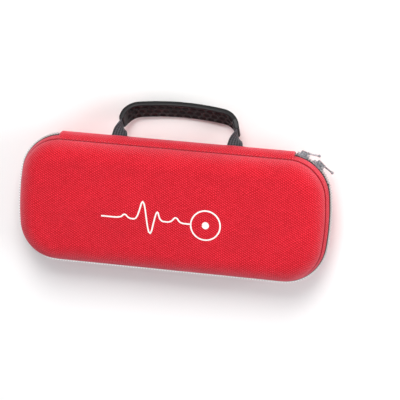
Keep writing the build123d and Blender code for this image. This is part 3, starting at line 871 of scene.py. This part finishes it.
# -----------------------------------------------------------------------------
# Bindings and straps. Black woven tape sewn over the raw edges inside both rims and over the
# pocket's edge, and two hook-and-loop straps lying closed on the base's floor.
# -----------------------------------------------------------------------------
def place_tape(name, dark, light, pitch):
    """Woven tape for pieces without a cloth map: ribs are set out from the piece's own place."""
    made, tree = new_material(name)
    place = add_node(tree, "TexCoord").outputs["Object"]
    parts = add_node(tree, "SeparateXYZ", [(0, place)])
    run = add_node(tree, "Math", [(0, parts.outputs[0]), (1, parts.outputs[1])], operation="ADD")
    turn = add_node(tree, "Math", [(0, run), (1, 2 * math.pi / (pitch * 0.001))], operation="MULTIPLY")
    ribs = add_node(tree, "Math", [(0, turn)], operation="SINE")
    bump = add_node(tree, "Bump", [("Height", ribs), ("Strength", 0.5), ("Distance", 0.0002)])
    # Rib tops are coloured lighter and the hollows darker: painted highlight and painted shade.
    shade = add_node(tree, "MapRange", [(0, ribs), (1, -1.2), (2, 1.2)])
    tint = add_node(tree, "Mix", [(0, shade), (6, linear(dark)), (7, linear(light))], data_type="RGBA")
    look = [("Base Color", tint.outputs[2]), ("Roughness", 0.8), ("Normal", bump)]
    face = add_node(tree, "BsdfPrincipled", look)
    add_node(tree, "OutputMaterial", [("Surface", face)])
    return made


binding_tape = place_tape("black_grosgrain_binding", "#101012", "#26262a", 0.9)
strap_webbing = place_tape("black_strap_webbing", "#141417", "#2e2e33", 1.4)
pad_pile = place_tape("hook_and_loop_pile", "#0c0c0d", "#3a3a3e", 0.6)
for material, names in (
    (binding_tape, ("base_rim_binding", "lid_rim_binding", "pocket_binding")),
    (strap_webbing, ("hook_straps", "loop_straps")),
    (pad_pile, ("hook_pads", "loop_pads")),
):
    for name in names:
        dressed(name, material)


# -----------------------------------------------------------------------------
# Lid pocket. Open warp-knit net stretched across the front of the lid's cavity, under its elastic
# edge. It is one cut piece of net, sewn in round its curved side.
# -----------------------------------------------------------------------------
def warp_net(name):
    """Warp-knit net: hexagonal holes about 2.4 mm apart, open to what lies behind it."""
    made, tree = new_material(name)
    cloth = add_node(tree, "UVMap", uv_map="cloth")
    spread = [("Vector", cloth), ("Scale", 0.42), ("Randomness", 0.35)]
    cells = add_node(tree, "TexVoronoi", spread, feature="DISTANCE_TO_EDGE")
    open_part = add_node(tree, "MapRange", [(0, cells), (1, 0.11), (2, 0.17)])
    yarn = add_node(tree, "BsdfPrincipled", [("Base Color", linear("#26262a")), ("Roughness", 0.7)])
    clear = add_node(tree, "BsdfTransparent")
    net = add_node(tree, "MixShader", [(0, open_part), (1, yarn), (2, clear)])
    add_node(tree, "OutputMaterial", [("Surface", net)])
    return made


low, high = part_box("pocket_mesh")
net_distance = (low.z + high.z) / 2 * 1000 - middle
net_inset = wall_inset(net_distance)
net_edge_y, net_sag, front_half = 14.0, 0.6, 90.0
net_rows, net_columns = 24, 80


def net_boundary():
    """Where the net is sewn in, as (x, y) points from the right end of its edge to the left end."""
    sewn = []
    for x, y, nx, ny in ring:
        px, py = x - net_inset * nx, y - net_inset * ny
        if py < net_edge_y:
            sewn.append((px, py))
    ends = [x for x, y in sewn]
    return [(max(ends), net_edge_y)] + sewn + [(min(ends), net_edge_y)]


def net_reach(boundary, y):
    """Half the net's length at y."""
    reach = 0.0
    for (ax, ay), (bx, by) in zip(boundary[:-1], boundary[1:]):
        if ax > 0 and bx > 0 and (ay - y) * (by - y) <= 0 and ay != by:
            reach = max(reach, ax + (bx - ax) * (y - ay) / (by - ay))
    return reach or front_half


def net_points():
    """Grid of the net, which sags a little towards the cavity's floor, and its cloth map."""
    boundary = net_boundary()
    points, cloth = empty_grids(net_rows, net_columns)
    for i, y in enumerate(np.linspace(net_edge_y, min(y for x, y in boundary), net_rows)):
        reach = net_reach(boundary, y)
        for j, share in enumerate(np.linspace(-1, 1, net_columns)):
            sag = net_sag * (1 - share**2) * math.sin(math.pi * i / (net_rows - 1))
            points[i, j] = (reach * share, y, middle + net_distance - sag)
            cloth[i, j] = (reach * share, y)
    return points, cloth


points, cloth = net_points()
net = grid_piece("pocket_net", points, cloth, warp_net("black_warp_knit_net"))
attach(net, "lid")
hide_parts("pocket_mesh")


# -----------------------------------------------------------------------------
# Floor, lights and camera. A plain white table, with a soft window behind the spine's side, a
# second soft light to the right and a weak fill from the front left.
# -----------------------------------------------------------------------------
def lacquered_table(name):
    """White lacquer. From 0.3 m to 1.1 m away the table fades to the backdrop's plain white."""
    made, tree = new_material(name)
    place = add_node(tree, "TexCoord").outputs["Object"]
    away = add_node(tree, "VectorMath", [(0, place)], operation="LENGTH").outputs["Value"]
    fade = add_node(tree, "MapRange", [(0, away), (1, 0.3), (2, 1.1)])
    seen = add_node(tree, "LightPath").outputs["Is Camera Ray"]
    share = add_node(tree, "Math", [(0, fade), (1, seen)], operation="MULTIPLY")
    lacquer = add_node(tree, "BsdfPrincipled", [("Base Color", linear("#fbfbfc")), ("Roughness", 0.6)])
    glow = add_node(tree, "Emission")
    joined = add_node(tree, "MixShader", [(0, share), (1, lacquer), (2, glow)])
    add_node(tree, "OutputMaterial", [("Surface", joined)])
    return made


table_corners = [(-6, -6, 0), (6, -6, 0), (6, 6, 0), (-6, 6, 0)]
floor_mesh = bpy.data.meshes.new("table_top")
floor_mesh.from_pydata(table_corners, [], [(0, 1, 2, 3)])
floor_mesh.materials.append(lacquered_table("white_lacquered_table"))
into_scene("table_top", floor_mesh)

# The room is plain white to the camera, lights the case evenly from all round, and shows in
# metal as dim walls below a bright ceiling.
world = bpy.data.worlds.new("studio")
bpy.context.scene.world = world
world.use_nodes = True
air = world.node_tree
air.nodes.clear()
ray = add_node(air, "LightPath")
direction = add_node(air, "TexCoord").outputs["Generated"]
upwards = add_node(air, "SeparateXYZ", [(0, direction)]).outputs[2]
walls = add_node(air, "MapRange", [(0, upwards), (1, 0.25), (2, 0.75), (3, 0.05), (4, 1.1)])
lit = add_node(air, "Mix", [(0, ray.outputs["Is Glossy Ray"]), (2, 0.33), (3, walls)], data_type="FLOAT")
seen = add_node(air, "Mix", [(0, ray.outputs["Is Camera Ray"]), (2, lit), (3, 1.0)], data_type="FLOAT")
background = add_node(air, "Background", [("Color", linear("#ffffff")), ("Strength", seen)])
add_node(air, "OutputWorld", [("Surface", background)])


def soft_light(name, place, size, watts, colour):
    """Square area light turned towards the middle of the case."""
    data = bpy.data.lights.new(name, "AREA")
    data.shape = "SQUARE"
    data.size = size
    data.energy = watts
    data.color = linear(colour)[:3]
    made = into_scene(name, data)
    made.location = place
    made.rotation_euler = (case_middle - Vector(place)).to_track_quat("-Z", "Y").to_euler()


case_middle = Vector((0, 0, 0.03))
soft_light("window_light", (0.1, 1.05, 1.4), 0.8, 23.0, "#fffdfa")
soft_light("side_light", (1.3, 0.1, 0.8), 0.8, 9.5, "#ffffff")
soft_light("low_fill", (-0.9, -0.9, 1.1), 1.2, 5.0, "#f6f7ff")

# The camera looks down on the lid, from a little to the right and a little towards the spine.
# The photograph is a square of frame_px pixels, in which the case's middle is at middle_px.
to_right, to_spine, roll = math.radians(10.5), math.radians(12.5), math.radians(3.09)
camera_distance = 1.711
sensor_width, frame_px, px_per_mm = 36, 400, 1.1298
middle_px = (173.4, 206.8)
camera_data = bpy.data.cameras.new("photo_camera")
camera = into_scene("photo_camera", camera_data)
bpy.context.scene.camera = camera
back = Vector((math.sin(to_right), math.sin(to_spine), 0))
back.z = math.sqrt(1 - back.x**2 - back.y**2)
level = Vector((0, 1, 0)).cross(back).normalized()
upward = back.cross(level)
image_x = math.cos(roll) * level + math.sin(roll) * upward
image_y = -math.sin(roll) * level + math.cos(roll) * upward
turned = Matrix((image_x, image_y, back)).transposed().to_4x4()
camera.matrix_world = Matrix.Translation(case_middle + back * camera_distance) @ turned
camera_data.sensor_width = sensor_width
camera_data.lens = px_per_mm * camera_distance * 1000 / frame_px * sensor_width
camera_data.shift_x = (frame_px / 2 - middle_px[0]) / frame_px
camera_data.shift_y = (middle_px[1] - frame_px / 2) / frame_px
camera_data.clip_end = 20

bpy.context.scene.view_settings.view_transform = "Standard"
